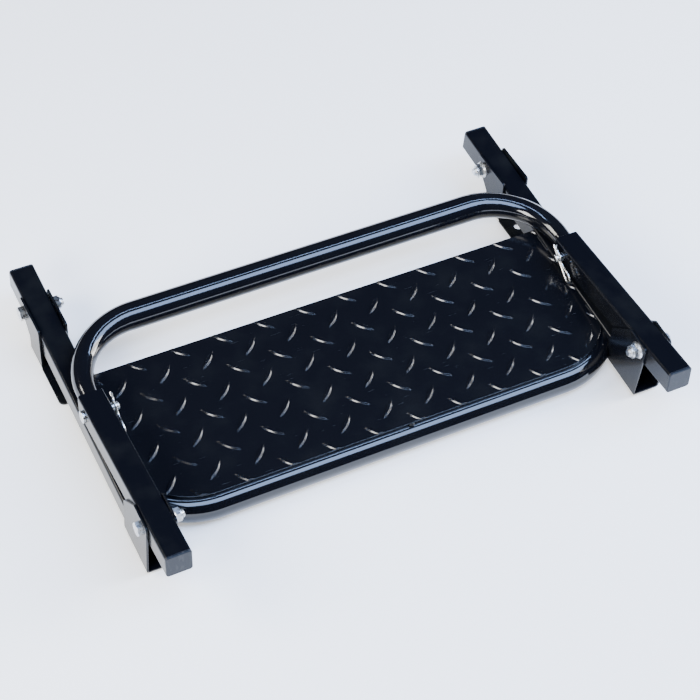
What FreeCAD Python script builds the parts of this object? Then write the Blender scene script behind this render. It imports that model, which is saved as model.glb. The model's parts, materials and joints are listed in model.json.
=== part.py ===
"""Folding tailgate step: one STEP file for each piece, in millimetres.

A lower frame (two square-tube arms, a round front rail and a tread plate) turns in a pair of
mounting brackets.  An upper frame (two shorter arms joined by a round handle loop) turns in
knuckle brackets on the front of the lower one.  Both frames are drawn folded.

Frame: +X to the right, +Y from the front rail back to the mounting brackets, +Z up.  The
origin is the middle of the folded step's outline, on the mounting face that it lies on.
"""

import FreeCAD, Part
import math
import os

Vector = FreeCAD.Vector
SIDES = {"left": -1, "right": 1}

# --- driving dimensions --------------------------------------------------------------------
OVERALL_WIDTH = 544.0      # over the outer faces of the arms
TUBE = 25.4                # side of every square tube
TUBE_WALL = 2.0
TUBE_CORNER = 3.0          # outside corner radius of the square tube
RAIL_TUBE = 28.6           # diameter of the front rail and of the loop's rear rail
RAIL_WALL = 1.8

PIVOT_SPAN = 306.0         # rear pivot to front pivot, along the lower arm
PIVOT_HEIGHT = 39.0        # rear pivot above the mounting face
ARM_TAIL = 47.5            # lower arm behind the rear pivot, cap included
FOLD_ANGLE = 6.42          # upper arm against lower arm when folded, degrees
UPPER_STUB = 52.0          # upper arm in front of the front pivot, cap included
UPPER_END = 144.5          # upper arm's rear end in front of the rear pivot, along the arm
FOLD_GAP = 0.72            # between the folded arms, at the upper arm's rear end

SHEET = 2.0                # thickness of the brackets
SIDE_GAP = 0.4             # between an arm and the flange beside it
STOP_GAP = 0.3             # between an arm and the edge that stops it, fully open
SHEET_BEND = 1.2           # inside radius of the bent sheet
SHEET_CORNER = 3.0         # rounded corners of the flanges

MOUNT_BACK = 9.0           # mounting flange behind the rear pivot
MOUNT_FRONT = 44.0         # mounting flange in front of it
MOUNT_TOP = 15.0           # above the rear pivot
MOUNT_HEEL = 2.0           # rear edge's lower end, above the rear pivot
MOUNT_TONGUE = 96.0        # web in front of the rear pivot
TONGUE_CORNER = 6.0
MOUNT_HOLE = 9.0
MOUNT_HOLE_PLACES = (60.0, 82.0)   # in front of the rear pivot

KNUCKLE_FRONT = 12.0       # knuckle flange in front of the front pivot
KNUCKLE_LENGTH = 54.0
KNUCKLE_CREST = 29.0       # length of its top edge
KNUCKLE_TOP = 11.9         # above the front pivot
KNUCKLE_BACK = 45.7        # height of its rear edge

PLATE = 3.0                # tread plate thickness
PLATE_REAR = 105.7         # rear pivot to the plate's rear edge
RAIL_SETBACK = 28.5        # front rail behind the front pivot, along the arm
PLATE_SINK = 2.1           # plate's top below the arms' top
RAIL_BEND = 74.0           # centre-line radius of the front rail's corners
RAIL_SWEEP = 78.0          # how far each corner is bent before it meets the arm, degrees

BAR_LENGTH = 27.0          # raised bars of the tread
BAR_WIDTH = 6.5
BAR_HEIGHT = 1.2
BAR_ANGLE = 45.0
BAR_PITCH_X = 45.1
BAR_PITCH_Y = 40.4
BAR_SHIFT_X = 1.6          # nearest forward-leaning bar to the plate's middle
BAR_MARGIN = 6.2           # plate's rear edge to the middle of the first row

LOOP_PLACE = 63.5          # loop's rear rail in front of the rear pivot, along the arm
LOOP_BEND = 73.0           # centre-line radius of the loop's corners
LOOP_KINK_BEND = 40.0      # radius of the slight bend behind the upper arm
LEG = 20.4                 # diameter of the loop's reduced legs
LEG_WALL = 1.8
LEG_DEPTH = 46.0           # leg inside the upper arm

SLEEVE = 12.0              # pivot sleeves
SLEEVE_BORE = 8.2
SLEEVE_FIT = 0.05          # running clearance on the radius
BOLT = 8.0                 # M8
BOLT_HOLE = 8.4
HEX = 13.0                 # across flats
HEAD_HEIGHT = 5.3
NUT_HEIGHT = 8.0
NUT_FLANGE = 17.9
NUT_FLANGE_HEIGHT = 1.8
NUT_TOP = 1.4              # round collar above the hexagon
BOLT_PROUD = 3.0           # bolt beyond the nut
CHAMFER = 0.8

PIN = 8.0                  # clevis pins
PIN_FIT = 0.08             # clearance on the radius
PIN_HEAD = 12.5
PIN_HEAD_HEIGHT = 3.0
PIN_SEAT = 0.3             # between the pin's head and the arm
PIN_SETBACK = 15.5         # in front of the upper arm's rear end
PIN_PROUD = 9.0            # pin beyond the arm's inner face
CLIP_WIRE = 2.0
CLIP_FIT = 0.05            # around the wire in the pin's cross hole
CLIP_PLACE = 5.0           # cross hole beyond the arm's inner face
CLIP_FRONT = 28.0          # clip in front of the pin, to the outside of its eye
CLIP_TAIL = 14.0           # clip behind the pin
CLIP_EYE = 4.5             # centre-line radius of the eye
CLIP_GAP = 0.2             # sprung leg to pin
CLIP_DROOP = 40.0          # how far the eye hangs down, degrees

CAP_FACE = 2.5
CAP_DEPTH = 15.0
CAP_FIT = 0.1
CAP_WALL = 1.6
CAP_ROUND = 1.0

# --- derived dimensions --------------------------------------------------------------------
HALF = TUBE / 2
BORE = TUBE - 2 * TUBE_WALL
ARM_X = OVERALL_WIDTH / 2 - HALF
INNER_X = ARM_X - HALF
TROUGH = TUBE + 2 * SIDE_GAP
CHANNEL = TROUGH + 2 * SHEET
FLANGE_FACE = CHANNEL / 2
RAIL_RADIUS = RAIL_TUBE / 2
PLATE_TOP = HALF - PLATE_SINK
RAIL_DROP = RAIL_RADIUS + PLATE - PLATE_TOP
RAIL_PLACE = PIVOT_SPAN - RAIL_SETBACK
UPPER_REACH = PIVOT_SPAN - UPPER_END
LOOP_REACH = PIVOT_SPAN - LOOP_PLACE
PIN_PLACE = UPPER_REACH - PIN_SETBACK
FOLD = math.radians(FOLD_ANGLE)
PIVOT_RISE = HALF + FOLD_GAP + UPPER_REACH * math.sin(FOLD) + HALF * math.cos(FOLD)
RAIL_HALF = ARM_X - RAIL_BEND
SOLE = HALF + SHEET
ARM_NOSE = PIVOT_SPAN - HALF - STOP_GAP
WEB_START = HALF + STOP_GAP
FRONT_PIVOT = Vector(0, -PIVOT_SPAN, PIVOT_RISE)
LEG_RADIUS = LEG / 2
LOOP_HALF = ARM_X - LOOP_BEND

# The step lies on its mounting brackets and its front rail, which sets the lower arms' slope.
ARM_TILT = math.degrees(math.asin((PIVOT_HEIGHT - RAIL_RADIUS) / math.hypot(RAIL_PLACE, RAIL_DROP))
                        - math.atan2(RAIL_DROP, RAIL_PLACE))


# --- helpers -------------------------------------------------------------------------------
def box(x0, x1, y0, y1, z0, z1):
    """A block between two corners."""
    return Part.makeBox(x1 - x0, y1 - y0, z1 - z0, Vector(x0, y0, z0))


def rod(radius, x0, x1, y=0.0, z=0.0):
    """A round bar along X."""
    low = min(x0, x1)
    return Part.makeCylinder(radius, abs(x1 - x0), Vector(low, y, z), Vector(1, 0, 0))


def hex_bar(x0, x1):
    """A hexagonal bar along X."""
    low = min(x0, x1)
    corner = HEX / math.sqrt(3)
    turns = [math.radians(60 * i) for i in range(7)]
    points = [Vector(low, corner * math.cos(t), corner * math.sin(t)) for t in turns]
    return Part.Face(Part.makePolygon(points)).extrude(Vector(abs(x1 - x0), 0, 0))


def lines_along(shape, direction):
    """The straight edges of a shape that run along one direction."""
    lines = [e for e in shape.Edges if isinstance(e.Curve, Part.Line)]
    return [e for e in lines if abs(abs(e.tangentAt(e.FirstParameter).dot(direction)) - 1) < 1e-6]


def rims_at(shape, x):
    """The closed edges of a shape that lie at one X."""
    return [e for e in shape.Edges if e.isClosed() and abs(e.CenterOfMass.x - x) < 1e-6]


def square_bar(side, corner, y0, y1):
    """A square bar along Y with rounded corners."""
    block = box(-side / 2, side / 2, y0, y1, -side / 2, side / 2)
    return block.makeFillet(corner, lines_along(block, Vector(0, 1, 0)))


def square_tube(y0, y1):
    """A square tube along Y, open at both ends."""
    outer = square_bar(TUBE, TUBE_CORNER, y0, y1)
    return outer.cut(square_bar(BORE, TUBE_CORNER - TUBE_WALL, y0, y1))


def side_profile(points, corner, rounded):
    """A block with the given outline in Y and Z; rounded(point) picks the corners to round."""
    outline = [Vector(-CHANNEL, y, z) for y, z in points]
    block = Part.Face(Part.makePolygon(outline + outline[:1])).extrude(Vector(2 * CHANNEL, 0, 0))
    edges = [e for e in lines_along(block, Vector(1, 0, 0)) if rounded(e.CenterOfMass)]
    return block.makeFillet(corner, edges)


def channel(y0, y1, sole, top):
    """A bent-sheet channel along Y, open upward."""
    def trough(half, floor, corner):
        block = box(-half, half, y0, y1, floor, top)
        low = [e for e in lines_along(block, Vector(0, 1, 0)) if abs(e.CenterOfMass.z - floor) < 1e-6]
        return block.makeFillet(corner, low)
    outer = trough(FLANGE_FACE, sole, SHEET_BEND + SHEET)
    return outer.cut(trough(TROUGH / 2, sole + SHEET, SHEET_BEND))


def arc(centre, radius, turn0, turn1, place):
    """A circular arc in a plane whose coordinates place(x, u) turns into points."""
    def point(turn):
        angle = math.radians(turn)
        return place(centre[0] + radius * math.cos(angle), centre[1] + radius * math.sin(angle))
    return Part.Arc(point(turn0), point((turn0 + turn1) / 2), point(turn1)).toShape()


def swept(edges, radius0, radius1=None):
    """A round bar along joined edges; it tapers if a second radius is given."""
    first, last = edges[0], edges[-1]
    shell = Part.BRepOffsetAPI.MakePipeShell(Part.Wire(edges))
    shell.add(Part.Wire(Part.makeCircle(radius0, first.valueAt(first.FirstParameter),
                                        first.tangentAt(first.FirstParameter))))
    if radius1 is not None:
        shell.add(Part.Wire(Part.makeCircle(radius1, last.valueAt(last.LastParameter),
                                            last.tangentAt(last.LastParameter))))
    shell.build()
    shell.makeSolid()
    return shell.shape()


def on_side(shape, side):
    """A shape drawn for the right arm's centre line, put on the given side."""
    placed = shape.copy()
    placed.translate(Vector(ARM_X, 0, 0))
    return placed if side > 0 else placed.mirror(Vector(0, 0, 0), Vector(1, 0, 0))


def both_sides(shape):
    """One separate solid for each side."""
    return Part.makeCompound([on_side(shape, side) for side in SIDES.values()])


# --- hardware, about its own axis, +X outward ------------------------------------------------
def pivot_bolt():
    """Hex-head bolt, head on the outer side."""
    tip = -(FLANGE_FACE + NUT_HEIGHT + BOLT_PROUD)
    top = FLANGE_FACE + HEAD_HEIGHT
    cone = Part.makeCone(HEX / 2 + HEAD_HEIGHT * 1.5, HEX / 2 - 0.3, HEAD_HEIGHT,
                         Vector(FLANGE_FACE, 0, 0), Vector(1, 0, 0))
    shank = rod(BOLT / 2, tip, FLANGE_FACE)
    shank = shank.makeChamfer(CHAMFER, rims_at(shank, tip))
    return hex_bar(FLANGE_FACE, top).common(cone).fuse(shank)


def pivot_nut():
    """Flange nut on the inner side."""
    seat = -FLANGE_FACE
    end = seat - NUT_HEIGHT
    flange = Part.makeCone(NUT_FLANGE / 2, NUT_FLANGE / 2 - 1.0, NUT_FLANGE_HEIGHT,
                           Vector(seat, 0, 0), Vector(-1, 0, 0))
    collar = rod(HEX / 2 - 0.9, seat, end)
    nut = flange.fuse([hex_bar(seat, end + NUT_TOP), collar])
    return nut.cut(rod(BOLT / 2, seat, end))


def pivot_sleeve():
    """Sleeve that the bolt clamps between the flanges; the arm turns on it."""
    half = TROUGH / 2
    return rod(SLEEVE / 2, -half, half).cut(rod(SLEEVE_BORE / 2, -half, half))


def end_cap(y_face, outward):
    """A push-in plastic cap: a face with rounded rim and a hollow plug."""
    y_root = y_face - outward * CAP_FACE
    y_tip = y_root - outward * CAP_DEPTH
    face = square_bar(TUBE, TUBE_CORNER, min(y_face, y_root), max(y_face, y_root))
    rim = [e for e in face.Edges if abs(e.CenterOfMass.y - y_face) < 1e-6]
    face = face.makeFillet(CAP_ROUND, rim)
    side = BORE - 2 * CAP_FIT
    low, high = min(y_root, y_tip), max(y_root, y_tip)
    plug = square_bar(side, TUBE_CORNER - TUBE_WALL, low, high)
    hollow = side / 2 - CAP_WALL
    return face.fuse(plug.cut(box(-hollow, hollow, low, high, -hollow, hollow)))


# --- mounting brackets, about the rear pivot -------------------------------------------------
def mount_bracket():
    """Channel with a bolted tongue; its web's rear edge stops the lower arm's tail."""
    base = -PIVOT_HEIGHT
    drop = MOUNT_BACK + WEB_START
    sheet = channel(-MOUNT_FRONT, MOUNT_BACK, base, MOUNT_TOP)
    outline = [(-MOUNT_FRONT, base), (-MOUNT_FRONT, MOUNT_TOP), (MOUNT_BACK, MOUNT_TOP),
               (MOUNT_BACK, MOUNT_HEEL), (-WEB_START, MOUNT_HEEL - drop), (-WEB_START, base)]
    bracket = sheet.common(side_profile(outline, SHEET_CORNER, lambda p: p.z > base + 1))
    tongue = box(-FLANGE_FACE, FLANGE_FACE, -MOUNT_TONGUE, -MOUNT_FRONT, base, base + SHEET)
    tips = [e for e in lines_along(tongue, Vector(0, 0, 1)) if e.CenterOfMass.y < -MOUNT_FRONT - 1]
    bracket = bracket.fuse(tongue.makeFillet(TONGUE_CORNER, tips))
    for place in MOUNT_HOLE_PLACES:
        hole = Part.makeCylinder(MOUNT_HOLE / 2, 3 * SHEET, Vector(0, -place, base - SHEET))
        bracket = bracket.cut(hole)
    return bracket.cut(rod(BOLT_HOLE / 2, -CHANNEL, CHANNEL))


# --- lower frame, about the rear pivot, +Y along the arms ------------------------------------
def lower_arm():
    """Square tube that turns on the rear sleeve."""
    tube = square_tube(-ARM_NOSE, ARM_TAIL - CAP_FACE)
    return tube.cut(rod(SLEEVE / 2 + SLEEVE_FIT, -TUBE, TUBE))


def knuckle_bracket():
    """Deep channel welded under the lower arm's nose; it carries the front pivot."""
    front = -PIVOT_SPAN - KNUCKLE_FRONT
    back = front + KNUCKLE_LENGTH
    top = PIVOT_RISE + KNUCKLE_TOP
    outline = [(front, -SOLE), (back, -SOLE), (back, KNUCKLE_BACK - SOLE),
               (front + KNUCKLE_CREST, top), (front, top)]
    shape = side_profile(outline, SHEET_CORNER, lambda p: p.z > -SOLE + 1)
    bracket = channel(front, back, -SOLE, top).common(shape)
    return bracket.cut(rod(BOLT_HOLE / 2, -CHANNEL, CHANNEL, -PIVOT_SPAN, PIVOT_RISE))


def front_rail():
    """Round tube across the front, bent back at both ends and cut to the arms and knuckles."""
    def spot(x, u):
        return Vector(x, u - RAIL_PLACE, -RAIL_DROP)
    corners = [arc((-RAIL_HALF, RAIL_BEND), RAIL_BEND, 270 - RAIL_SWEEP, 270, spot),
               arc((RAIL_HALF, RAIL_BEND), RAIL_BEND, 270, 270 + RAIL_SWEEP, spot)]
    path = [corners[0], Part.makeLine(spot(-RAIL_HALF, 0), spot(RAIL_HALF, 0)), corners[1]]
    rail = swept(path, RAIL_RADIUS).cut(swept(path, RAIL_RADIUS - RAIL_WALL))
    knuckle_back = -PIVOT_SPAN - KNUCKLE_FRONT + KNUCKLE_LENGTH
    knuckle_face = ARM_X - FLANGE_FACE
    for side in SIDES.values():
        beyond_arm = box(INNER_X, INNER_X + TUBE * 2, -PIVOT_SPAN, 0, -TUBE, TUBE)
        beyond_knuckle = box(knuckle_face, INNER_X + TUBE, -PIVOT_SPAN, knuckle_back, -TUBE, TUBE)
        waste = beyond_arm.fuse(beyond_knuckle)
        rail = rail.cut(waste if side > 0 else waste.mirror(Vector(0, 0, 0), Vector(1, 0, 0)))
    return rail


def plate_blank(inset, z0, z1):
    """The tread plate's outline as a block: square at the back, arcs over the rail in front."""
    def spot(x, u):
        return Vector(x, u - RAIL_PLACE, z0)
    radius = RAIL_BEND - inset
    side = INNER_X - inset
    turn = math.degrees(math.asin((side - RAIL_HALF) / radius))
    side_u = RAIL_BEND - radius * math.cos(math.radians(turn))
    back = RAIL_PLACE - PLATE_REAR - inset
    edges = [arc((-RAIL_HALF, RAIL_BEND), radius, 270 - turn, 270, spot),
             Part.makeLine(spot(-RAIL_HALF, inset), spot(RAIL_HALF, inset)),
             arc((RAIL_HALF, RAIL_BEND), radius, 270, 270 + turn, spot),
             Part.makeLine(spot(side, side_u), spot(side, back)),
             Part.makeLine(spot(side, back), spot(-side, back)),
             Part.makeLine(spot(-side, back), spot(-side, side_u))]
    return Part.Face(Part.Wire(edges)).extrude(Vector(0, 0, z1 - z0))


def tread_bar(angle):
    """One raised bar: pointed at both ends, with sloping sides, standing on z = 0."""
    def outline(length, width, z):
        tips = [Vector(-length / 2, 0, z), Vector(length / 2, 0, z)]
        return Part.Wire([Part.Arc(tips[0], Vector(0, width / 2, z), tips[1]).toShape(),
                          Part.Arc(tips[1], Vector(0, -width / 2, z), tips[0]).toShape()])
    foot = outline(BAR_LENGTH, BAR_WIDTH, -PLATE / 4)
    crest = outline(BAR_LENGTH - BAR_WIDTH, BAR_WIDTH / 2, BAR_HEIGHT)
    bar = Part.makeLoft([foot, crest], True, True)
    bar.rotate(Vector(0, 0, 0), Vector(0, 0, 1), angle)
    return bar


def tread_plate():
    """Checker plate: rows of raised bars that lean one way and the other in turn."""
    plate = plate_blank(0.0, PLATE_TOP - PLATE, PLATE_TOP)
    trim = plate_blank(0.6, PLATE_TOP - PLATE, PLATE_TOP + PLATE)
    rows = math.ceil((RAIL_PLACE - PLATE_REAR) / (BAR_PITCH_Y / 2))
    columns = math.ceil(INNER_X / BAR_PITCH_X) + 1
    bars = []
    for row in range(rows):
        forward = row % 2
        pattern = tread_bar(BAR_ANGLE if forward else -BAR_ANGLE)
        x_row = BAR_SHIFT_X + (0 if forward else BAR_PITCH_X / 2)
        for column in range(-columns, columns + 1):
            bar = pattern.copy()
            bar.translate(Vector(x_row + column * BAR_PITCH_X,
                                 -PLATE_REAR - BAR_MARGIN - row * BAR_PITCH_Y / 2, PLATE_TOP))
            kept = bar.common(trim)
            if kept.Volume > 0.1 * bar.Volume:
                bars.append(kept)
    return plate.fuse(bars)


# --- upper frame, about the front pivot, +Y along the arms -----------------------------------
def upper_arm():
    """Square tube that turns on the front sleeve and holds a leg of the loop."""
    tube = square_tube(-UPPER_STUB + CAP_FACE, UPPER_REACH)
    tube = tube.cut(rod(SLEEVE / 2 + SLEEVE_FIT, -TUBE, TUBE))
    return tube.cut(rod(PIN / 2 + PIN_FIT, -TUBE, TUBE, PIN_PLACE))


def handle_loop():
    """Round tube loop: reduced legs pinned in the arms, bends that grow to the full rail."""
    lift = math.radians(FOLD_ANGLE)
    y_kink = UPPER_REACH + LOOP_KINK_BEND * math.sin(lift)
    z_kink = LOOP_KINK_BEND * (1 - math.cos(lift))

    def spot(x, u):
        return Vector(x, y_kink + u * math.cos(lift), z_kink + u * math.sin(lift))
    reach = LOOP_REACH - UPPER_REACH * math.cos(lift) - LOOP_KINK_BEND * math.sin(lift)
    straight = reach - LOOP_BEND
    half_kink = Vector(ARM_X, UPPER_REACH + LOOP_KINK_BEND * math.sin(lift / 2),
                       LOOP_KINK_BEND * (1 - math.cos(lift / 2)))
    deep = Vector(ARM_X, UPPER_REACH - LEG_DEPTH, 0)
    mouth = Vector(ARM_X, UPPER_REACH, 0)
    leg = [Part.makeLine(deep, mouth),
           Part.Arc(mouth, half_kink, spot(ARM_X, 0)).toShape(),
           Part.makeLine(spot(ARM_X, 0), spot(ARM_X, straight))]
    bend = [arc((LOOP_HALF, straight), LOOP_BEND, 0, 90, spot)]
    rail = [Part.makeLine(spot(LOOP_HALF, reach), spot(0, reach))]

    def half_loop(leg_radius, rail_radius):
        return swept(leg, leg_radius).fuse([swept(bend, leg_radius, rail_radius),
                                            swept(rail, rail_radius)])
    half = half_loop(LEG_RADIUS, RAIL_RADIUS)
    half = half.cut(half_loop(LEG_RADIUS - LEG_WALL, RAIL_RADIUS - RAIL_WALL))
    half = half.cut(rod(PIN / 2 + PIN_FIT, 0, OVERALL_WIDTH, PIN_PLACE))
    return half.fuse(half.mirror(Vector(0, 0, 0), Vector(1, 0, 0))).removeSplitter()


def clevis_pin():
    """Headed pin through arm and leg, with a cross hole for the clip."""
    tip = -HALF - PIN_PROUD
    seat = HALF + PIN_SEAT
    top = seat + PIN_HEAD_HEIGHT
    shank = rod(PIN / 2, tip, seat)
    shank = shank.makeChamfer(CHAMFER, rims_at(shank, tip))
    head = rod(PIN_HEAD / 2, seat, top)
    head = head.makeFillet(CHAMFER, rims_at(head, top))
    hole = Part.makeCylinder(CLIP_WIRE / 2 + CLIP_FIT, 2 * PIN, Vector(-HALF - CLIP_PLACE, -PIN, 0),
                             Vector(0, 1, 0))
    return set_pin(shank.fuse(head).cut(hole))


def hairpin_clip():
    """Spring clip: straight leg through the pin, eye in front, sprung leg over the pin."""
    def spot(y, z):
        return Vector(-HALF - CLIP_PLACE, y, z)
    wire = CLIP_WIRE / 2
    eye_y = -CLIP_FRONT + CLIP_EYE + wire
    saddle = PIN / 2 + wire + CLIP_GAP
    straight = Part.makeLine(spot(CLIP_TAIL, 0), spot(eye_y, 0))
    eye = Part.Arc(spot(eye_y, 0), spot(eye_y - CLIP_EYE, CLIP_EYE), spot(eye_y, 2 * CLIP_EYE)).toShape()
    sprung = Part.BSplineCurve()
    sprung.interpolate([spot(eye_y, 2 * CLIP_EYE), spot(-saddle * 1.9, saddle * 0.72),
                        spot(-saddle * 1.2, saddle * 0.62), spot(0, saddle),
                        spot(saddle * 1.2, saddle * 0.62), spot(CLIP_TAIL - wire, saddle * 1.1)],
                       InitialTangent=Vector(0, 1, 0), FinalTangent=Vector(0, 0.8, 0.6))
    return set_pin(swept([straight, eye, sprung.toShape()], wire))


def set_pin(shape):
    """Turn pin or clip to where it hangs and put it at the upper arm's pin hole."""
    shape.rotate(Vector(0, 0, 0), Vector(1, 0, 0), CLIP_DROOP)
    shape.translate(Vector(0, PIN_PLACE, 0))
    return shape


# --- placing -------------------------------------------------------------------------------
def seat_mount(shape):
    """From the rear pivot's axes to the part's."""
    placed = shape.copy()
    placed.translate(Vector(0, 0, PIVOT_HEIGHT))
    return placed


def seat_lower(shape):
    """From the lower frame's axes to the part's, folded."""
    placed = shape.copy()
    placed.rotate(Vector(0, 0, 0), Vector(1, 0, 0), ARM_TILT)
    return seat_mount(placed)


def seat_knuckle(shape):
    """From the front pivot's axes, square to the lower frame, to the part's."""
    placed = shape.copy()
    placed.translate(FRONT_PIVOT)
    return seat_lower(placed)


def seat_upper(shape):
    """From the upper frame's axes to the part's, folded."""
    placed = shape.copy()
    placed.rotate(Vector(0, 0, 0), Vector(1, 0, 0), -FOLD_ANGLE)
    return seat_knuckle(placed)


def build():
    """Every piece of the folded step, by name."""
    pieces = {}
    paired = {"mount_bracket": (mount_bracket(), seat_mount),
              "lower_arm": (lower_arm(), seat_lower),
              "tail_cap": (end_cap(ARM_TAIL, 1), seat_lower),
              "knuckle_bracket": (knuckle_bracket(), seat_lower),
              "upper_arm": (upper_arm(), seat_upper),
              "end_cap": (end_cap(-UPPER_STUB, -1), seat_upper),
              "clevis_pin": (clevis_pin(), seat_upper),
              "hairpin_clip": (hairpin_clip(), seat_upper)}
    for name, (shape, seat) in paired.items():
        for word, side in SIDES.items():
            pieces[word + "_" + name] = seat(on_side(shape, side))
    hardware = {"bolts": pivot_bolt(), "nuts": pivot_nut(), "sleeves": pivot_sleeve()}
    for name, shape in hardware.items():
        pieces["mount_pivot_" + name] = seat_mount(both_sides(shape))
        pieces["knuckle_pivot_" + name] = seat_knuckle(both_sides(shape))
    pieces["front_rail"] = seat_lower(front_rail())
    pieces["tread_plate"] = seat_lower(tread_plate())
    pieces["handle_loop"] = seat_upper(handle_loop())
    return pieces


def main():
    """Build the step, centre it fore and aft, and write one file for each piece."""
    os.makedirs("parts", exist_ok=True)
    pieces = build()
    outline = Part.makeCompound(list(pieces.values())).optimalBoundingBox(False)
    shift = Vector(0, -(outline.YMin + outline.YMax) / 2, 0)
    print("tilt", round(ARM_TILT, 4), "shift", round(shift.y, 4), "bottom", round(outline.ZMin, 5))
    for name, shape in pieces.items():
        shape.translate(shift)
        shape.exportStep(os.path.join("parts", name + ".step"))
        print(name, "solids", len(shape.Solids), "valid", shape.isValid(), "volume", round(shape.Volume))


main()
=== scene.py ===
"""Looks of the folding tailgate step: finishes, weld beads, studio and camera."""

import json
import logging
import math
from dataclasses import dataclass, field
from enum import Enum
from typing import Any, Optional, Union

import bpy
from mathutils import Matrix, Vector


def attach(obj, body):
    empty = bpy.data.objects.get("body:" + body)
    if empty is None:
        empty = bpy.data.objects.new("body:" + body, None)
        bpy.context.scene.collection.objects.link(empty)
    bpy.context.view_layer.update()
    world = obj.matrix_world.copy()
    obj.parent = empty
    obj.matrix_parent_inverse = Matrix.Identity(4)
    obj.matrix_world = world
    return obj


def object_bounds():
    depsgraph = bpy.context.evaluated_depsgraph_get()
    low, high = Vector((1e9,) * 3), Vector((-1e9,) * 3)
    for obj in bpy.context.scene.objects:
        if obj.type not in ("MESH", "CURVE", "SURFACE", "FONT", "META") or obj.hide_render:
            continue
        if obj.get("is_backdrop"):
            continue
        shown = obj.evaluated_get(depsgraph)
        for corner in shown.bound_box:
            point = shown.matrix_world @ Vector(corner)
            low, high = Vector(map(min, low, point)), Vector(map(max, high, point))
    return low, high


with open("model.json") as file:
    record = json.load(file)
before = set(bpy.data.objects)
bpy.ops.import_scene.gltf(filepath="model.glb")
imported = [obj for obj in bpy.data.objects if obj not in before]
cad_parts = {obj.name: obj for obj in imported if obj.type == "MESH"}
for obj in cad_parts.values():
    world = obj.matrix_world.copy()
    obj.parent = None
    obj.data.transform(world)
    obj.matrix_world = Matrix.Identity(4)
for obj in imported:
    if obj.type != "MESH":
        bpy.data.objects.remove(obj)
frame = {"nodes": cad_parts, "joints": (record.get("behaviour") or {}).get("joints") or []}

log = logging.getLogger("tailgate_step")

Number = Union[int, float]
Rgb = tuple[float, float, float]

MM = 1000                      # millimetres in a metre
FULL_TURN = 2 * math.pi


class Body(Enum):
    """The rigid bodies of the step."""

    MOUNTS = "mounts"
    LOWER = "lower_frame"
    UPPER = "upper_frame"
    LEFT_PIN = "left_pin"
    RIGHT_PIN = "right_pin"


class Slot(Enum):
    """A material slot of the record; the added details made here do not take it."""

    PAINT = "black_paint"


# --- sockets and node graphs -----------------------------------------------------------------
@dataclass(frozen=True)
class Value:
    """A number inside a material: an output socket with arithmetic.

    Args:
        graph: The graph that the socket belongs to.
        socket: The node's output.
    """

    graph: "Graph"
    socket: Any

    def _with(self, operation: str, other: "Operand", swap: bool = False) -> "Value":
        """Join this value to another with a Math node.

        Args:
            operation: The Math node's operation.
            other: A number or another value.
            swap: Put the other operand first.

        Returns:
            The node's result.
        """
        pair = (other, self) if swap else (self, other)
        return self.graph.make("ShaderNodeMath", pair, operation=operation)

    def __add__(self, other: "Operand") -> "Value":
        """Sum with a number or value."""
        return self._with("ADD", other)

    __radd__ = __add__

    def __sub__(self, other: "Operand") -> "Value":
        """Difference with a number or value."""
        return self._with("SUBTRACT", other)

    def __rsub__(self, other: "Operand") -> "Value":
        """Difference from a number or value."""
        return self._with("SUBTRACT", other, swap=True)

    def __mul__(self, other: "Operand") -> "Value":
        """Product with a number or value."""
        return self._with("MULTIPLY", other)

    __rmul__ = __mul__

    def __lt__(self, other: "Operand") -> "Value":
        """One where this value is the smaller, else zero."""
        return self._with("LESS_THAN", other)

    def __gt__(self, other: "Operand") -> "Value":
        """One where this value is the larger, else zero; the reflected form of <."""
        return self._with("GREATER_THAN", other)

    def __abs__(self) -> "Value":
        """Size without its sign."""
        return self.graph.make("ShaderNodeMath", (self,), operation="ABSOLUTE")


Operand = Union[Value, Number]


@dataclass(frozen=True)
class Direction(Value):
    """A vector inside a material."""

    def scaled(self, factor: Rgb) -> "Direction":
        """Stretch each axis.

        Args:
            factor: One factor for each axis.

        Returns:
            The stretched vector.
        """
        return self.graph.make("ShaderNodeVectorMath", (self, factor), kind=Direction,
                               operation="MULTIPLY")

    def part(self, axis: str) -> Value:
        """One component.

        Args:
            axis: X, Y or Z.

        Returns:
            That component.
        """
        return self.graph.make("ShaderNodeSeparateXYZ", (self,), output=axis)


@dataclass(frozen=True)
class Colour(Value):
    """A colour inside a material."""

    def toward(self, other: Union["Colour", Rgb], factor: Operand) -> "Colour":
        """Blend into another colour.

        Args:
            other: The colour blended in.
            factor: How much of it, from 0 to 1.

        Returns:
            The blend.
        """
        node = self.graph.tree.nodes.new("ShaderNodeMix")
        node.data_type = "RGBA"
        colours = [s for s in node.inputs if s.type == "RGBA"]
        self.graph.feed(node.inputs[0], factor)
        self.graph.feed(colours[0], self)
        self.graph.feed(colours[1], other)
        out = next(s for s in node.outputs if s.type == "RGBA")
        return Colour(self.graph, out)


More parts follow.
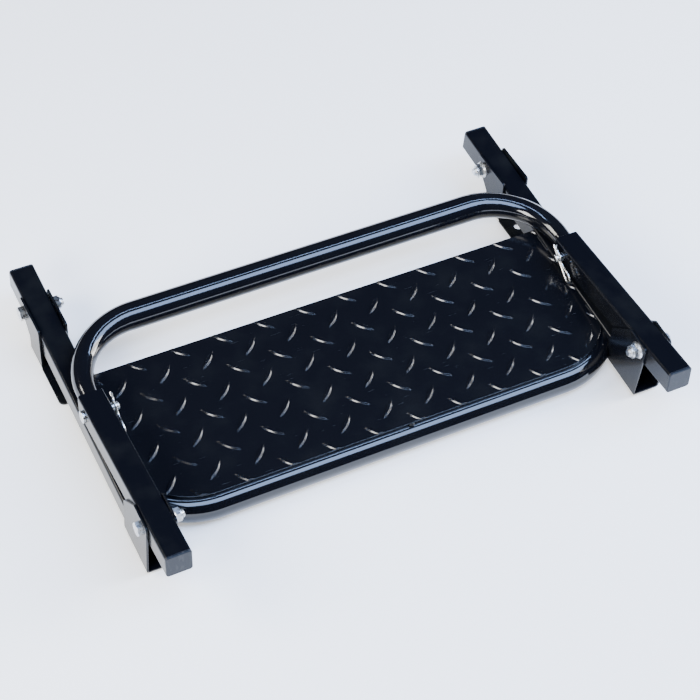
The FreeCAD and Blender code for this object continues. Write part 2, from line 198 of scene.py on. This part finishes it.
@dataclass
class Graph:
    """One material's nodes.

    Args:
        name: The material's name.
    """

    name: str
    material: Any = field(init=False)
    tree: Any = field(init=False)
    shader: Any = field(init=False)

    def __post_init__(self) -> None:
        """Make the material with one Principled shader."""
        self.material = bpy.data.materials.new(self.name)
        self.material.use_nodes = True
        self.tree = self.material.node_tree
        self.tree.nodes.clear()
        self.shader = self.tree.nodes.new("ShaderNodeBsdfPrincipled")
        out = self.tree.nodes.new("ShaderNodeOutputMaterial")
        self.tree.links.new(self.shader.outputs[0], out.inputs["Surface"])

    def feed(self, target: Any, source: Any) -> None:
        """Link a value to an input, or set the input to a constant.

        Args:
            target: The input socket.
            source: A value, number or tuple.
        """
        if isinstance(source, Value):
            self.tree.links.new(source.socket, target)
        elif isinstance(source, tuple) and target.type == "RGBA":
            target.default_value = (*source, 1.0)
        else:
            target.default_value = source

    def make(self, node_type: str, inputs: Any = (), output: Union[int, str] = 0,
             kind: type = Value, **settings: Any) -> Any:
        """Make any node.

        Args:
            node_type: Blender's name for the node.
            inputs: Sources by position, or by socket name in a dict.
            output: Which output to return.
            kind: The wrapper for that output.
            settings: The node's own properties.

        Returns:
            The wrapped output.
        """
        node = self.tree.nodes.new(node_type)
        for key, setting in settings.items():
            setattr(node, key, setting)
        pairs = inputs.items() if isinstance(inputs, dict) else enumerate(inputs)
        for key, source in pairs:
            self.feed(node.inputs[key], source)
        return kind(self, node.outputs[output])

    def place(self) -> Direction:
        """The point's place on the object, in metres."""
        return self.make("ShaderNodeTexCoord", output="Object", kind=Direction)

    def colour(self, rgb: Rgb) -> Colour:
        """A constant colour.

        Args:
            rgb: Linear red, green and blue.

        Returns:
            The colour.
        """
        node = self.tree.nodes.new("ShaderNodeRGB")
        node.outputs[0].default_value = (*rgb, 1.0)
        return Colour(self, node.outputs[0])

    def noise(self, where: Direction, scale: float, detail: float = 4.0) -> Value:
        """Soft noise from 0 to 1.

        Args:
            where: Coordinates.
            scale: Features per metre, roughly.
            detail: Octaves.

        Returns:
            The noise.
        """
        return self.make("ShaderNodeTexNoise", {"Vector": where, "Scale": scale, "Detail": detail})

    def ramp(self, value: Value, low: float, high: float) -> Value:
        """Stretch a band of values to run from 0 to 1, held at both ends.

        Args:
            value: What is stretched.
            low: Becomes 0.
            high: Becomes 1.

        Returns:
            The stretched value.
        """
        return self.make("ShaderNodeMapRange", {0: value, 1: low, 2: high}, clamp=True)

    def bump(self, height: Value, depth: float, under: Optional[Direction] = None) -> Direction:
        """Surface relief.

        Args:
            height: Relief from 0 to 1.
            depth: Its depth in metres.
            under: Relief below this one.

        Returns:
            The normal.
        """
        sources: dict[str, Any] = {"Height": height, "Distance": depth, "Strength": 1.0}
        if under is not None:
            sources["Normal"] = under
        return self.make("ShaderNodeBump", sources, kind=Direction)

    def rounded(self, radius: float) -> Direction:
        """Normals of edges worn round.

        Args:
            radius: Radius of the rounding, metres.

        Returns:
            The normal.
        """
        return self.make("ShaderNodeBevel", {"Radius": radius}, kind=Direction, samples=6)

    def set(self, **sockets: Any) -> None:
        """Feed the shader's inputs.

        Args:
            sockets: Sources by socket name, with _ for each space.
        """
        for key, source in sockets.items():
            self.feed(self.shader.inputs[key.replace("_", " ")], source)


# --- finishes --------------------------------------------------------------------------------
@dataclass(frozen=True)
class Paint:
    """Glossy black paint with orange peel, rubbed patches, dust and fine scratches.

    Args:
        name: The finish's name.
        base: Paint colour.
        dust: Dust colour.
        dust_amount: Most dust that shows.
        roughness: Roughness of clean paint.
        peel: Depth of the orange peel, metres.
        scratches: Strength of the scratches.
        coat: Weight of the clear coat.
        ior: Index of refraction.
        edge: Radius to which edges look rounded, metres.
        shine: Specular level of the paint under the coat.
        coat_roughness: Roughness of the clear coat.
        cloud_scale: Patches of dust and wear per metre, roughly.
        speck_scale: Dust specks per metre, roughly.
        speck_share: Dust in a speck, as a share of the most that shows.
        patch_scale: Scratched patches per metre, roughly.
        peel_scale: Bumps of the orange peel per metre, roughly.
        scratch_run: Stretch of the scratches, which run across the step.
        scratch_depth: Depth of a scratch of strength 1, metres.
        scratch_dulling: Roughness that a scratch of strength 1 adds.
        wear_dulling: Most roughness that wear adds.
    """

    name: str
    base: Rgb = (0.0022, 0.0026, 0.0045)
    dust: Rgb = (0.035, 0.038, 0.034)
    dust_amount: float = 0.12
    roughness: float = 0.14
    peel: float = 0.00003
    scratches: float = 0.5
    coat: float = 0.0
    ior: float = 1.45
    edge: float = 0.0006
    shine: float = 0.25
    coat_roughness: float = 0.06
    cloud_scale: float = 26.0
    speck_scale: float = 900.0
    speck_share: float = 0.5
    patch_scale: float = 60.0
    peel_scale: float = 420.0
    scratch_run: Rgb = (40.0, 900.0, 900.0)
    scratch_depth: float = 0.00002
    scratch_dulling: float = 0.3
    wear_dulling: float = 0.03

    def build(self) -> Any:
        """Make the material.

        Returns:
            The Blender material.
        """
        g = Graph(self.name)
        where = g.place()
        clouds = g.noise(where, self.cloud_scale, detail=5.0)
        specks = g.ramp(g.noise(where, self.speck_scale, detail=2.0), low=0.66, high=0.76)
        dust = g.ramp(clouds, low=0.48, high=0.78)
        dirt = dust * self.dust_amount + specks * (self.dust_amount * self.speck_share)
        lines = g.ramp(g.noise(where.scaled(self.scratch_run), 1.0, detail=2.0), low=0.70, high=0.74)
        scratch = lines * g.ramp(g.noise(where, self.patch_scale, detail=2.0), low=0.5, high=0.62)
        dulling = scratch * (self.scratch_dulling * self.scratches)
        rough = g.ramp(clouds, low=0.3, high=0.8) * self.wear_dulling + dulling + self.roughness
        peel = g.bump(g.noise(where, self.peel_scale, detail=2.0), self.peel, g.rounded(self.edge))
        relief = g.bump(1.0 - scratch, self.scratch_depth * self.scratches, peel)
        g.set(Base_Color=g.colour(self.base).toward(self.dust, dirt), Roughness=rough, Normal=relief,
              IOR=self.ior, Specular_IOR_Level=self.shine,
              Coat_Weight=self.coat, Coat_Roughness=self.coat_roughness)
        return g.material


@dataclass(frozen=True)
class Plastic:
    """Moulded black plastic with a fine grain and scuffs.

    Args:
        name: The finish's name.
        base: Plastic colour.
        scuffed: Colour of scuffs.
        roughness: Roughness where unworn.
        ior: Index of refraction.
        shine: Specular level.
        edge: Radius to which edges look rounded, metres.
        scuff_scale: Scuffs per metre, roughly.
        scuff_run: Stretch of the scuffs, which run upright.
        grain_scale: Grains per metre, roughly.
        grain_depth: Depth of the grain, metres.
    """

    name: str
    base: Rgb = (0.007, 0.009, 0.014)
    scuffed: Rgb = (0.05, 0.052, 0.056)
    roughness: float = 0.3
    ior: float = 1.45
    shine: float = 0.3
    edge: float = 0.0008
    scuff_scale: float = 240.0
    scuff_run: Rgb = (1.0, 1.0, 0.3)
    grain_scale: float = 1400.0
    grain_depth: float = 0.00004

    def build(self) -> Any:
        """Make the material.

        Returns:
            The Blender material.
        """
        g = Graph(self.name)
        where = g.place()
        scuffs = g.noise(where.scaled(self.scuff_run), self.scuff_scale, detail=6.0)
        scuff = g.ramp(scuffs, low=0.55, high=0.7)
        grain = g.make("ShaderNodeTexVoronoi", {"Vector": where, "Scale": self.grain_scale})
        colour = g.colour(self.base).toward(self.scuffed, scuff * 0.5)
        g.set(Base_Color=colour, Roughness=scuff * 0.2 + self.roughness,
              Normal=g.bump(grain, self.grain_depth, g.rounded(self.edge)),
              IOR=self.ior, Specular_IOR_Level=self.shine)
        return g.material


@dataclass(frozen=True)
class Metal:
    """Plated or drawn metal with mottling and fine marks; it can carry a thread.

    Args:
        name: The finish's name.
        bright: Colour of clean plating.
        dull: Colour of dulled plating.
        roughness: Roughness of clean plating.
        thread_below: Half-width from the middle plane inside which a thread shows, metres.
        pitch: Thread pitch, metres.
        thread_depth: Depth of the thread, metres.
        mottle_scale: Mottles per metre, roughly.
        mark_run: Fine marks per metre along each axis.
        mark_depth: Depth of the marks, metres.
    """

    name: str
    bright: Rgb = (0.72, 0.73, 0.74)
    dull: Rgb = (0.40, 0.41, 0.40)
    roughness: float = 0.24
    thread_below: float = 0.0
    pitch: float = 0.00125
    thread_depth: float = 0.0003
    mottle_scale: float = 330.0
    mark_run: Rgb = (3000.0, 500.0, 500.0)
    mark_depth: float = 0.00003

    def build(self) -> Any:
        """Make the material.

        Returns:
            The Blender material.
        """
        g = Graph(self.name)
        where = g.place()
        mottle = g.ramp(g.noise(where, self.mottle_scale, detail=6.0), low=0.38, high=0.68)
        marks = g.noise(where.scaled(self.mark_run), 1.0, detail=3.0)
        colour = g.colour(self.bright).toward(self.dull, mottle * 0.6)
        relief = g.bump(marks, self.mark_depth)
        if self.thread_below > 0:
            along = where.part("X")
            turn = g.make("ShaderNodeMath", (along * (FULL_TURN / self.pitch),), operation="SINE")
            relief = g.bump(turn * (abs(along) < self.thread_below), self.thread_depth, relief)
        g.set(Base_Color=colour, Metallic=1.0, Roughness=mottle * 0.2 + self.roughness, Normal=relief)
        return g.material


@dataclass(frozen=True)
class Floor:
    """A pale matt floor.

    Args:
        name: The finish's name.
        base: Floor colour.
        shade: Colour of its darker clouds.
        cloud_scale: Clouds per metre, roughly.
        glow: Strength of its own white light.
    """

    name: str = "floor"
    base: Rgb = (0.93, 0.93, 0.93)
    shade: Rgb = (0.90, 0.90, 0.91)
    cloud_scale: float = 3.0
    glow: float = 0.5

    def build(self) -> Any:
        """Make the material.

        Returns:
            The Blender material.
        """
        g = Graph(self.name)
        cloud = g.noise(g.place(), self.cloud_scale)
        g.set(Base_Color=g.colour(self.base).toward(self.shade, cloud * 0.3), Roughness=0.9,
              Emission_Color=g.colour((1.0, 1.0, 1.0)), Emission_Strength=self.glow)
        return g.material


@dataclass
class Finishes:
    """Every finish of the step, made once."""

    tube: Any = field(default_factory=lambda: Paint("paint_tube").build())
    round_tube: Any = field(default_factory=lambda: Paint(
        "paint_round_tube", dust_amount=0.04, roughness=0.09, peel=0.00001, scratches=0.3,
        coat=0.3, ior=1.5, shine=0.5).build())
    sheet: Any = field(default_factory=lambda: Paint(
        "paint_sheet", dust_amount=0.2, roughness=0.2, peel=0.00004).build())
    plate: Any = field(default_factory=lambda: Paint(
        "paint_plate", dust_amount=0.06, roughness=0.15, peel=0.00002, scratches=1.0,
        coat=0.2, ior=1.5, edge=0.0011, shine=0.5).build())
    weld: Any = field(default_factory=lambda: Paint(
        "paint_weld", roughness=0.28, peel=0.00008).build())
    cap: Any = field(default_factory=lambda: Plastic("plastic_cap").build())
    bolt: Any = field(default_factory=lambda: Metal("zinc_bolt", thread_below=0.2385).build())
    zinc: Any = field(default_factory=lambda: Metal("zinc_plain").build())
    pin: Any = field(default_factory=lambda: Metal("zinc_pin", roughness=0.18).build())
    wire: Any = field(default_factory=lambda: Metal(
        "spring_wire", bright=(0.68, 0.68, 0.67), roughness=0.16).build())


# --- weld beads ------------------------------------------------------------------------------
def joint_place(name: str) -> Vector:
    """Where a joint's axis passes at rest.

    Args:
        name: The joint's name.

    Returns:
        A point on the axis, metres.
    """
    joint = next(j for j in frame["joints"] if j["name"] == name)
    return Vector(joint["pos_m"])


@dataclass(frozen=True)
class LowerAxes:
    """The lower frame's own axes, folded: Y along its arms from the rear pivot.

    Args:
        pivot: Rear pivot, metres.
        tilt: Slope of the arms, degrees.
    """

    pivot: Vector = field(default_factory=lambda: joint_place("lower_frame_fold"))
    tilt: float = 3.722

    def point(self, x: float, y: float, z: float) -> Vector:
        """A point given in millimetres along the lower frame's axes.

        Args:
            x: Across.
            y: Along the arms from the rear pivot, less than 0 in front of it.
            z: Square to the arms, up.

        Returns:
            The point in the part's frame, metres.
        """
        turned = Matrix.Rotation(math.radians(self.tilt), 3, "X") @ Vector((x, y, z))
        return turned / MM + self.pivot


@dataclass(frozen=True)
class Bead:
    """A weld bead: a closed, rippled bar between two points.

    Args:
        name: The bead's name.
        start: One end, metres.
        end: The other end, metres.
        radius: Half-width, metres.
        ripple: Length of one ripple, metres.
        ripple_depth: Depth of a ripple, as a share of the radius.
        steps_per_ripple: Steps along the bead in one ripple.
        fewest_steps: Steps in the shortest bead.
        around: Corners in the ring between two steps.
        end_round: How gradually the ends close, in radii.
        wander: How far the bead strays sideways, as a share of the radius.
        wander_turn: Turn of the stray from end to end, radians.
        wander_start: Turn of the stray at the start, radians for each metre of bead.
    """

    name: str
    start: Vector
    end: Vector
    radius: float = 0.0017
    ripple: float = 0.0022
    ripple_depth: float = 0.1
    steps_per_ripple: int = 6
    fewest_steps: int = 12
    around: int = 14
    end_round: float = 3.0
    wander: float = 0.12
    wander_turn: float = 9.0
    wander_start: float = 700.0

    @property
    def length(self) -> float:
        """Length of the bead, metres."""
        return (self.end - self.start).length

    @property
    def steps(self) -> int:
        """Steps from end to end, with a ring of corners between each two."""
        return max(self.fewest_steps, int(self.length / self.ripple * self.steps_per_ripple))

    def points(self) -> list[Vector]:
        """The bead's corners: one end, the rings between, and the other end.

        Returns:
            The corners, metres.
        """
        length, steps = self.length, self.steps
        along = (self.end - self.start).normalized()
        side = along.orthogonal().normalized()
        up = along.cross(side)
        points = [self.start]
        for i in range(1, steps):
            t = i / steps
            bulge = math.sin(math.pi * t) * length / self.radius / self.end_round
            ripple = self.ripple_depth * math.cos(FULL_TURN * t * length / self.ripple)
            size = self.radius * min(1.0, bulge ** 0.5) * (1 - self.ripple_depth + ripple)
            stray = self.wander * self.radius * math.sin(self.wander_turn * t + length * self.wander_start)
            for j in range(self.around):
                a = FULL_TURN * j / self.around
                points.append(self.start + along * (t * length)
                              + side * (size * math.cos(a) + stray) + up * size * math.sin(a))
        points.append(self.end)
        return points

    def faces(self) -> list[tuple[int, ...]]:
        """Faces between the corners.

        Returns:
            Corner numbers of each face.
        """
        around, last = self.around, (self.steps - 1) * self.around + 1
        faces: list[tuple[int, ...]] = []
        for j in range(around):
            k = (j + 1) % around
            faces.append((0, 1 + k, 1 + j))
            for i in range(self.steps - 2):
                near, far = 1 + i * around, 1 + (i + 1) * around
                faces.append((near + j, near + k, far + k, far + j))
            faces.append((last, last - around + j, last - around + k))
        return faces

    def build(self, finish: Any, body: Body) -> Any:
        """Make the bead and let it ride on a body.

        Args:
            finish: Its material.
            body: The body that it is welded to.

        Returns:
            The mesh object.
        """
        mesh = bpy.data.meshes.new(self.name)
        mesh.from_pydata([tuple(point) for point in self.points()], [], self.faces())
        mesh.materials.append(finish)
        mesh.polygons.foreach_set("use_smooth", [True] * len(mesh.polygons))
        bead = bpy.data.objects.new(self.name, mesh)
        bpy.context.scene.collection.objects.link(bead)
        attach(bead, body.value)
        log.info("%s: bead of %.0f mm", self.name, self.length * MM)
        return bead


# --- sub-assemblies --------------------------------------------------------------------------
@dataclass
class Assembly:
    """A group of CAD nodes with their finishes.

    Args:
        body: The body that the group belongs to.
        finishes: The step's finishes.
    """

    body: Body
    finishes: Finishes

    def wear(self) -> dict[str, Any]:
        """Finish of each node.

        Returns:
            Materials by node name.
        """
        return {}

    def dress(self) -> None:
        """Give each node its finish."""
        for name, finish in self.wear().items():
            mesh = frame["nodes"][name].data
            mesh.materials.clear()
            mesh.materials.append(finish)
            log.info("%s: %s", name, finish.name)

    def detail(self) -> list[Any]:
        """Make the pieces that only the looks need.

        Returns:
            The objects made.
        """
        return []


def pair(name: str) -> tuple[str, str]:
    """The left and right node of a pair.

    Args:
        name: The name that both share.

    Returns:
        Both full names.
    """
    return "left_" + name, "right_" + name


@dataclass
class Mounts(Assembly):
    """Mounting brackets with their pivot hardware."""

    def wear(self) -> dict[str, Any]:
        """Finish of each node.

        Returns:
            Materials by node name.
        """
        f = self.finishes
        sheets = {n: f.sheet for n in pair("mount_bracket")}
        return {**sheets, "mount_pivot_bolts": f.bolt, "mount_pivot_nuts": f.zinc,
                "mount_pivot_sleeves": f.zinc}


@dataclass
class LowerFrame(Assembly):
    """Lower arms, knuckles, front rail and tread plate.

    Lengths are in millimetres along the frame's own axes.

    Args:
        axes: The frame's own axes.
        arm_x: Arm centre line from the middle.
        half: Half the side of the arm's tube.
        knuckle_y: Rear edge of the knuckles.
        knuckle_weld_z: Lowest and highest point of a knuckle's outer weld.
        sole_z: Height of the weld under a knuckle.
        sole_inset: That weld's ends in from the arm's faces.
        rail_weld_y: Front and rear end of the welds at the front rail.
        rail_weld_z: Height of those welds.
        plate_weld_y: Middle of each weld along a side of the plate.
        plate_weld_z: Height of those welds.
        plate_weld_half: Half the length of those welds.
        plate_weld_radius: Half-width of those welds, metres.
        tack_x: Both ends of the tack between plate and rail.
        tack_y: The tack's place along the frame.
        tack_z: The tack's height.
        tack_radius: The tack's half-width, metres.
        tack_ripple: The tack's ripple, metres.
    """

    axes: LowerAxes = field(default_factory=LowerAxes)
    arm_x: float = 259.3
    half: float = 12.7
    knuckle_y: float = -263.6
    knuckle_weld_z: tuple[float, float] = (-11.0, 10.0)
    sole_z: float = -13.0
    sole_inset: float = 2.0
    rail_weld_y: tuple[float, float] = (-242.0, -214.0)
    rail_weld_z: float = -12.8
    plate_weld_y: tuple[float, ...] = (-225.0, -175.0, -125.0)
    plate_weld_z: float = 10.4
    plate_weld_half: float = 11.0
    plate_weld_radius: float = 0.0014
    tack_x: tuple[float, float] = (12.0, 18.0)
    tack_y: float = -278.2
    tack_z: float = 9.2
    tack_radius: float = 0.002
    tack_ripple: float = 0.003

    def wear(self) -> dict[str, Any]:
        """Finish of each node.

        Returns:
            Materials by node name.
        """
        f = self.finishes
        made = {n: f.tube for n in pair("lower_arm")}
        made.update({n: f.cap for n in pair("tail_cap")})
        made.update({n: f.sheet for n in pair("knuckle_bracket")})
        made.update({"front_rail": f.round_tube, "tread_plate": f.plate,
                     "knuckle_pivot_bolts": f.bolt, "knuckle_pivot_nuts": f.zinc,
                     "knuckle_pivot_sleeves": f.zinc})
        return made

    def side_beads(self, word: str, sign: int) -> list[Bead]:
        """Weld beads on one side of the frame.

        Args:
            word: left or right.
            sign: -1 on the left, 1 on the right.

        Returns:
            The beads at the knuckle, the rail's end and the plate's side.
        """
        at = self.axes.point
        outer, inner = sign * (self.arm_x + self.half), sign * (self.arm_x - self.half)
        inset = sign * self.sole_inset
        low, high = self.knuckle_weld_z
        front, back = self.rail_weld_y
        beads = [
            Bead(f"{word}_knuckle_outer_weld", at(outer, self.knuckle_y, low),
                 at(outer, self.knuckle_y, high)),
            Bead(f"{word}_knuckle_sole_weld", at(outer - inset, self.knuckle_y, self.sole_z),
                 at(inner + inset, self.knuckle_y, self.sole_z)),
            Bead(f"{word}_rail_weld", at(inner, front, self.rail_weld_z),
                 at(inner, back, self.rail_weld_z)),
        ]
        for i, y in enumerate(self.plate_weld_y, start=1):
            beads.append(Bead(f"{word}_plate_weld_{i}",
                              at(inner, y - self.plate_weld_half, self.plate_weld_z),
                              at(inner, y + self.plate_weld_half, self.plate_weld_z),
                              radius=self.plate_weld_radius))
        return beads

    def detail(self) -> list[Any]:
        """Weld beads at the knuckles, the rail's ends and the plate.

        Returns:
            The beads made.
        """
        tack_start, tack_end = (self.axes.point(x, self.tack_y, self.tack_z) for x in self.tack_x)
        beads = self.side_beads("left", -1) + self.side_beads("right", 1)
        beads.append(Bead("plate_tack_weld", tack_start, tack_end, radius=self.tack_radius,
                          ripple=self.tack_ripple))
        return [bead.build(self.finishes.weld, self.body) for bead in beads]


@dataclass
class UpperFrame(Assembly):
    """Upper arms, their caps and the handle loop."""

    def wear(self) -> dict[str, Any]:
        """Finish of each node.

        Returns:
            Materials by node name.
        """
        f = self.finishes
        made = {n: f.tube for n in pair("upper_arm")}
        made.update({n: f.cap for n in pair("end_cap")})
        made["handle_loop"] = f.round_tube
        return made


@dataclass
class PinSet(Assembly):
    """A clevis pin and its spring clip.

    Args:
        side: left or right.
    """

    side: str = "left"

    def wear(self) -> dict[str, Any]:
        """Finish of each node."""
        return {self.side + "_clevis_pin": self.finishes.pin,
                self.side + "_hairpin_clip": self.finishes.wire}


# --- studio ----------------------------------------------------------------------------------
@dataclass(frozen=True)
class Softbox:
    """A rectangular light aimed at a point, its width along the step.

    Args:
        name: The light's name.
        place: Where it hangs, metres.
        size: Width and height, metres.
        power: Watts.
        tint: Colour.
        target: What it points at.
    """

    name: str
    place: Vector
    size: tuple[float, float]
    power: float
    tint: Rgb = (1.0, 1.0, 1.0)
    target: Vector = Vector((0.0, 0.0, 0.04))

    def build(self) -> None:
        """Hang the light."""
        data = bpy.data.lights.new(self.name, "AREA")
        data.shape = "RECTANGLE"
        data.size, data.size_y = self.size
        data.energy = self.power
        data.color = self.tint
        light = bpy.data.objects.new(self.name, data)
        back = (self.place - self.target).normalized()
        across = (Vector((1.0, 0.0, 0.0)) - back * back.x).normalized()
        turn = Matrix((across, back.cross(across), back)).transposed()
        light.matrix_world = Matrix.Translation(self.place) @ turn.to_4x4()
        bpy.context.scene.collection.objects.link(light)
        log.info("%s: %.0f W", self.name, self.power)


@dataclass(frozen=True)
class Studio:
    """Floor, soft light and camera.

    Args:
        camera_place: The camera's place, metres.
        forward: Where it looks.
        right: Which way is right in its view.
        lens: Focal length, millimetres.
        sensor: Width of the camera's sensor, millimetres.
        floor_half: Half the side of the floor, metres.
        floor_level: Height of the floor, just under the step, metres.
        sky: Colour of the surroundings, with alpha.
        sky_strength: Brightness of the surroundings.
    """

    camera_place: Vector = Vector((-0.6150, -1.1241, 1.4504))
    forward: Vector = Vector((0.3241, 0.5832, -0.7449))
    right: Vector = Vector((0.8959, -0.4420, 0.0438))
    lens: float = 99.3
    sensor: float = 36.0
    floor_half: float = 6.0
    floor_level: float = -0.0006
    sky: tuple[float, float, float, float] = (0.9, 0.93, 1.0, 1.0)
    sky_strength: float = 0.05

    def floor(self) -> None:
        """Lay the floor."""
        mesh = bpy.data.meshes.new("floor")
        half, level = self.floor_half, self.floor_level
        corners = [(-half, -half, level), (half, -half, level), (half, half, level), (-half, half, level)]
        mesh.from_pydata(corners, [], [(0, 1, 2, 3)])
        mesh.materials.append(Floor().build())
        floor = bpy.data.objects.new("floor", mesh)
        bpy.context.scene.collection.objects.link(floor)
        floor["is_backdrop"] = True

    def light(self) -> None:
        """Hang the lights and set the surroundings."""
        for box in (
            Softbox("top_strip", Vector((0.75, 0.34, 2.2)), (3.2, 0.08), 26.0, (0.42, 0.60, 1.0)),
            Softbox("front_strip", Vector((0.75, -0.75, 2.0)), (3.2, 1.0), 150.0, (0.42, 0.60, 1.0)),
            Softbox("left_softbox", Vector((-2.4, 0.9, 1.7)), (1.6, 1.2), 110.0, (1.0, 0.97, 0.90)),
            Softbox("tread_softbox", Vector((-1.9, -1.2, 1.3)), (1.1, 0.9), 90.0, (1.0, 0.98, 0.94)),
            Softbox("right_low_card", Vector((2.6, -0.2, 0.45)), (0.8, 0.7), 55.0),
            Softbox("right_softbox", Vector((2.8, -0.6, 1.5)), (1.4, 1.2), 90.0, (1.0, 0.97, 0.90)),
        ):
            box.build()
        world = bpy.data.worlds.new("studio")
        world.use_nodes = True
        background = world.node_tree.nodes["Background"]
        background.inputs["Color"].default_value = self.sky
        background.inputs["Strength"].default_value = self.sky_strength
        bpy.context.scene.world = world

    def camera(self) -> None:
        """Set the camera."""
        data = bpy.data.cameras.new("camera")
        data.sensor_width = self.sensor
        data.lens = self.lens
        data.dof.use_dof = False
        camera = bpy.data.objects.new("camera", data)
        back = -self.forward.normalized()
        right = (self.right - back * self.right.dot(back)).normalized()
        turn = Matrix((right, back.cross(right), back)).transposed()
        camera.matrix_world = Matrix.Translation(self.camera_place) @ turn.to_4x4()
        bpy.context.scene.collection.objects.link(camera)
        bpy.context.scene.camera = camera

    def build(self) -> None:
        """Set up floor, light and camera."""
        self.floor()
        self.light()
        self.camera()


@dataclass
class TailgateStep:
    """The whole step."""

    finishes: Finishes = field(default_factory=Finishes)

    def assemblies(self) -> list[Assembly]:
        """Its sub-assemblies.

        Returns:
            One for each body.
        """
        f = self.finishes
        return [Mounts(Body.MOUNTS, f), LowerFrame(Body.LOWER, f), UpperFrame(Body.UPPER, f),
                PinSet(Body.LEFT_PIN, f, "left"), PinSet(Body.RIGHT_PIN, f, "right")]

    def build(self) -> None:
        """Dress every node and add the details."""
        for assembly in self.assemblies():
            assembly.dress()
            log.info("%s: %d details", assembly.body.value, len(assembly.detail()))


def corners() -> list[list[float]]:
    """Lowest and highest corner of what is shown.

    Returns:
        Both corners as plain lists.
    """
    return [list(c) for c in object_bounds()]


def main() -> None:
    """Dress the step, set the studio and hand over to the frame."""
    logging.basicConfig(level=logging.INFO, format="%(message)s")
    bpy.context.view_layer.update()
    TailgateStep().build()
    Studio().build()


if __name__ == "__main__":
    main()
